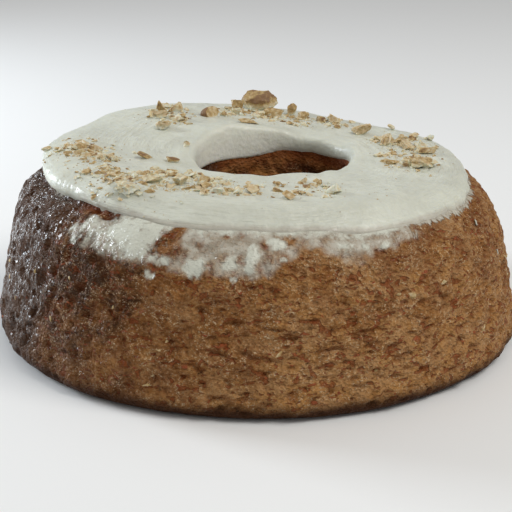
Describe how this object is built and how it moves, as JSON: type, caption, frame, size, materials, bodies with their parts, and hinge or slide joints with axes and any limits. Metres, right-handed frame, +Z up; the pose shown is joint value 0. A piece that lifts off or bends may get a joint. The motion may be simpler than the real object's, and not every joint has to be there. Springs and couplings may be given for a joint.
{
  "type": "carrot cake",
  "caption": "Ring-shaped carrot cake with a sloping brown crust, pale icing over the top and into the hole, and chopped nuts.",
  "frame": {"origin": "on the table, in the middle of the cake's foot", "axes": "+Z up, -Y towards the side that the picture shows, +X to the right in the picture"},
  "size_m": [0.2513, 0.2517, 0.099],
  "materials": {
    "crust": "baked carrot sponge crust, pitted, brown, with orange shreds of carrot",
    "icing": "soft cheese icing, off-white, satin, spread with a spatula",
    "nut": "chopped nuts, tan to golden brown, dry",
    "carrot": "baked shreds of carrot, orange to rust red, slightly moist"
  },
  "bodies": {
    "root": {"sponge": "crust", "icing": "icing", "nut_crown": "nut", "nut_half": "nut", "nut_shard": "nut", "nut_flake_back": "nut", "nut_back_right": "nut", "nut_right": "nut", "nut_flake_right": "nut", "nut_front_left": "nut", "nut_front_edge": "nut", "nut_front_inner": "nut"}
  },
  "joints": []
}
